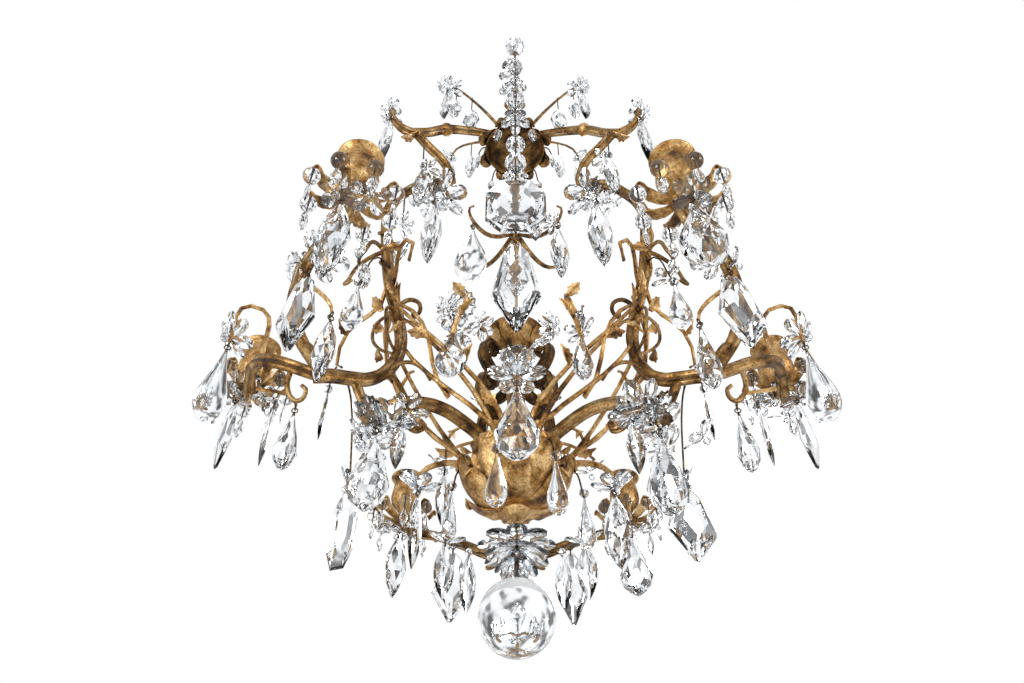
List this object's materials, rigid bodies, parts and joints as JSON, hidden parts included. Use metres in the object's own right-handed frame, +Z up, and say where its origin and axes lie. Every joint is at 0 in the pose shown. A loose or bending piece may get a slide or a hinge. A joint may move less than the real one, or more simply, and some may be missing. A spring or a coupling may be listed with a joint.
{
  "type": "crystal candle chandelier",
  "caption": "Petite candle chandelier: a gilt forged-iron cage on three scrolled bars, with candle cups on leaf drip pans and hanging cut-crystal drops.",
  "frame": {"origin": "the point inside the top of the suspension ring, where it bears on the ceiling hook", "axes": "+Z up; azimuth 0, the side with the long front chain, faces -Y; +X is to the right seen from the front"},
  "size_m": [0.5076, 0.4522, 0.703],
  "materials": {
    "gilt_iron": "satin",
    "aged_gilding": "satin",
    "dark_wire": "satin",
    "cut_crystal": "gloss"
  },
  "bodies": {
    "suspension_ring": {"suspension_ring": "aged_gilding"},
    "cage": {"arm_1": "gilt_iron", "arm_2": "gilt_iron", "arm_3": "gilt_iron", "arm_4": "gilt_iron", "arm_5": "gilt_iron", "arm_6": "gilt_iron", "bowl_arches": "gilt_iron", "bowl_brackets": "gilt_iron", "bowl_button": "gilt_iron", "cage_bar_1": "gilt_iron", "cage_bar_2": "gilt_iron", "cage_bar_3": "gilt_iron", "candle_cups": "gilt_iron", "central_vase": "gilt_iron", "crown_cup": "aged_gilding", "crown_eye": "aged_gilding", "crown_hooks": "aged_gilding", "crown_sprays": "aged_gilding", "drip_stars": "gilt_iron", "leaf_bowl": "gilt_iron", "pendant_twigs": "gilt_iron", "star_beads": "cut_crystal", "vase_stem": "aged_gilding", "vines": "gilt_iron", "wire_links": "dark_wire", "wired_drops": "cut_crystal"},
    "star_pendant_1": {"star_pendant_1": "cut_crystal"},
    "star_pendant_2": {"star_pendant_2": "cut_crystal"},
    "star_pendant_3": {"star_pendant_3": "cut_crystal"},
    "star_pendant_4": {"star_pendant_4": "cut_crystal"},
    "star_pendant_5": {"star_pendant_5": "cut_crystal"},
    "star_pendant_6": {"star_pendant_6": "cut_crystal"},
    "arm_pendant_1": {"arm_pendant_1": "cut_crystal"},
    "arm_pendant_2": {"arm_pendant_2": "cut_crystal"},
    "arm_pendant_3": {"arm_pendant_3": "cut_crystal"},
    "arm_pendant_4": {"arm_pendant_4": "cut_crystal"},
    "arm_pendant_5": {"arm_pendant_5": "cut_crystal"},
    "arm_pendant_6": {"arm_pendant_6": "cut_crystal"},
    "bar_pear_1": {"bar_pear_1": "cut_crystal"},
    "bar_pear_2": {"bar_pear_2": "cut_crystal"},
    "bar_pear_3": {"bar_pear_3": "cut_crystal"},
    "bracket_drop_1": {"bracket_drop_1": "cut_crystal"},
    "bracket_drop_2": {"bracket_drop_2": "cut_crystal"},
    "bracket_drop_3": {"bracket_drop_3": "cut_crystal"},
    "inner_drop_1": {"inner_drop_1": "cut_crystal"},
    "inner_drop_2": {"inner_drop_2": "cut_crystal"},
    "inner_drop_3": {"inner_drop_3": "cut_crystal"},
    "inner_drop_4": {"inner_drop_4": "cut_crystal"},
    "inner_drop_5": {"inner_drop_5": "cut_crystal"},
    "inner_drop_6": {"inner_drop_6": "cut_crystal"},
    "corner_drop_1": {"corner_drop_1": "cut_crystal"},
    "corner_drop_2": {"corner_drop_2": "cut_crystal"},
    "corner_drop_3": {"corner_drop_3": "cut_crystal"},
    "hook_drop_1": {"hook_drop_1": "cut_crystal"},
    "hook_drop_2": {"hook_drop_2": "cut_crystal"},
    "front_chain": {"front_chain": "cut_crystal"},
    "front_plaque": {"front_plaque": "cut_crystal"},
    "front_prism": {"front_prism": "cut_crystal"},
    "ball_drop": {"ball_drop": "cut_crystal"}
  },
  "joints": [
    {"name": "cage_swing", "type": "hinge", "parent": "suspension_ring", "child": "cage", "pos_m": [0, 0, -0.0157], "axis": [0, 1, 0], "range_deg": [-12, 12]},
    {"name": "star_pendant_1_swing", "type": "hinge", "parent": "cage", "child": "star_pendant_1", "pos_m": [0.1145, -0.19832, -0.484], "axis": [0.866, 0.5, 0], "range_deg": [-8, 8]},
    {"name": "star_pendant_2_swing", "type": "hinge", "parent": "cage", "child": "star_pendant_2", "pos_m": [0.229, 0, -0.484], "axis": [0, 1, 0], "range_deg": [-8, 8]},
    {"name": "star_pendant_3_swing", "type": "hinge", "parent": "cage", "child": "star_pendant_3", "pos_m": [0.1145, 0.19832, -0.484], "axis": [-0.866, 0.5, 0], "range_deg": [-8, 8]},
    {"name": "star_pendant_4_swing", "type": "hinge", "parent": "cage", "child": "star_pendant_4", "pos_m": [-0.1145, 0.19832, -0.484], "axis": [-0.866, -0.5, 0], "range_deg": [-8, 8]},
    {"name": "star_pendant_5_swing", "type": "hinge", "parent": "cage", "child": "star_pendant_5", "pos_m": [-0.229, 0, -0.484], "axis": [0, -1, 0], "range_deg": [-8, 8]},
    {"name": "star_pendant_6_swing", "type": "hinge", "parent": "cage", "child": "star_pendant_6", "pos_m": [-0.1145, -0.19832, -0.484], "axis": [0.866, -0.5, 0], "range_deg": [-8, 8]},
    {"name": "arm_pendant_1_swing", "type": "hinge", "parent": "cage", "child": "arm_pendant_1", "pos_m": [0.14449, -0.14962, -0.5], "axis": [0.7193, 0.6947, 0], "range_deg": [-8, 8]},
    {"name": "arm_pendant_2_swing", "type": "hinge", "parent": "cage", "child": "arm_pendant_2", "pos_m": [0.21684, -0.07046, -0.492], "axis": [0.309, 0.9511, 0], "range_deg": [-8, 8]},
    {"name": "arm_pendant_3_swing", "type": "hinge", "parent": "cage", "child": "arm_pendant_3", "pos_m": [0.05332, 0.19898, -0.503], "axis": [-0.9659, 0.2588, 0], "range_deg": [-8, 8]},
    {"name": "arm_pendant_4_swing", "type": "hinge", "parent": "cage", "child": "arm_pendant_4", "pos_m": [-0.06023, 0.197, -0.503], "axis": [-0.9563, -0.2924, 0], "range_deg": [-8, 8]},
    {"name": "arm_pendant_5_swing", "type": "hinge", "parent": "cage", "child": "arm_pendant_5", "pos_m": [-0.21684, -0.07046, -0.492], "axis": [0.309, -0.9511, 0], "range_deg": [-8, 8]},
    {"name": "arm_pendant_6_swing", "type": "hinge", "parent": "cage", "child": "arm_pendant_6", "pos_m": [-0.14117, -0.15139, -0.503], "axis": [0.7314, -0.682, 0], "range_deg": [-8, 8]},
    {"name": "bar_pear_1_swing", "type": "hinge", "parent": "cage", "child": "bar_pear_1", "pos_m": [0.09922, -0.062, -0.566], "axis": [0.5299, 0.848, 0], "range_deg": [-8, 8]},
    {"name": "bar_pear_2_swing", "type": "hinge", "parent": "cage", "child": "bar_pear_2", "pos_m": [0, 0.122, -0.57], "axis": [-1, 0, 0], "range_deg": [-8, 8]},
    {"name": "bar_pear_3_swing", "type": "hinge", "parent": "cage", "child": "bar_pear_3", "pos_m": [-0.09837, -0.06147, -0.564], "axis": [0.5299, -0.848, 0], "range_deg": [-8, 8]},
    {"name": "bracket_drop_1_swing", "type": "hinge", "parent": "cage", "child": "bracket_drop_1", "pos_m": [0, -0.091, -0.55], "axis": [1, 0, 0], "range_deg": [-8, 8]},
    {"name": "bracket_drop_2_swing", "type": "hinge", "parent": "cage", "child": "bracket_drop_2", "pos_m": [0.07881, 0.0455, -0.542], "axis": [-0.5, 0.866, 0], "range_deg": [-8, 8]},
    {"name": "bracket_drop_3_swing", "type": "hinge", "parent": "cage", "child": "bracket_drop_3", "pos_m": [-0.07881, 0.0455, -0.542], "axis": [-0.5, -0.866, 0], "range_deg": [-8, 8]},
    {"name": "inner_drop_1_swing", "type": "hinge", "parent": "cage", "child": "inner_drop_1", "pos_m": [0.12516, -0.12087, -0.52], "axis": [0.6947, 0.7193, 0], "range_deg": [-8, 8]},
    {"name": "inner_drop_2_swing", "type": "hinge", "parent": "cage", "child": "inner_drop_2", "pos_m": [0.17171, -0.02108, -0.512], "axis": [0.1219, 0.9925, 0], "range_deg": [-8, 8]},
    {"name": "inner_drop_3_swing", "type": "hinge", "parent": "cage", "child": "inner_drop_3", "pos_m": [0.06481, 0.1604, -0.516], "axis": [-0.9272, 0.3746, 0], "range_deg": [-8, 8]},
    {"name": "inner_drop_4_swing", "type": "hinge", "parent": "cage", "child": "inner_drop_4", "pos_m": [-0.06481, 0.1604, -0.516], "axis": [-0.9272, -0.3746, 0], "range_deg": [-8, 8]},
    {"name": "inner_drop_5_swing", "type": "hinge", "parent": "cage", "child": "inner_drop_5", "pos_m": [-0.17171, -0.02108, -0.512], "axis": [0.1219, -0.9925, 0], "range_deg": [-8, 8]},
    {"name": "inner_drop_6_swing", "type": "hinge", "parent": "cage", "child": "inner_drop_6", "pos_m": [-0.12872, -0.12003, -0.512], "axis": [0.682, -0.7314, 0], "range_deg": [-8, 8]},
    {"name": "corner_drop_1_swing", "type": "hinge", "parent": "cage", "child": "corner_drop_1", "pos_m": [0.07794, -0.045, -0.272], "axis": [0.5, 0.866, 0], "range_deg": [-8, 8]},
    {"name": "corner_drop_2_swing", "type": "hinge", "parent": "cage", "child": "corner_drop_2", "pos_m": [0, 0.09, -0.272], "axis": [-1, 0, 0], "range_deg": [-8, 8]},
    {"name": "corner_drop_3_swing", "type": "hinge", "parent": "cage", "child": "corner_drop_3", "pos_m": [-0.07794, -0.045, -0.272], "axis": [0.5, -0.866, 0], "range_deg": [-8, 8]},
    {"name": "hook_drop_1_swing", "type": "hinge", "parent": "cage", "child": "hook_drop_1", "pos_m": [0.04096, -0.02868, -0.289], "axis": [0.5736, 0.8192, 0], "range_deg": [-8, 8]},
    {"name": "hook_drop_2_swing", "type": "hinge", "parent": "cage", "child": "hook_drop_2", "pos_m": [-0.04096, -0.02868, -0.289], "axis": [0.5736, -0.8192, 0], "range_deg": [-8, 8]},
    {"name": "front_chain_swing", "type": "hinge", "parent": "cage", "child": "front_chain", "pos_m": [0, -0.088, -0.056], "axis": [1, 0, 0], "range_deg": [-6, 3]},
    {"name": "front_plaque_swing", "type": "hinge", "parent": "front_chain", "child": "front_plaque", "pos_m": [0, -0.088, -0.296], "axis": [1, 0, 0], "range_deg": [-5, 3]},
    {"name": "front_prism_swing", "type": "hinge", "parent": "front_plaque", "child": "front_prism", "pos_m": [0, -0.088, -0.387], "axis": [1, 0, 0], "range_deg": [-5, 3]},
    {"name": "ball_drop_swing", "type": "hinge", "parent": "cage", "child": "ball_drop", "pos_m": [0, 0, -0.604], "axis": [1, 0, 0], "range_deg": [-8, 8]}
  ]
}
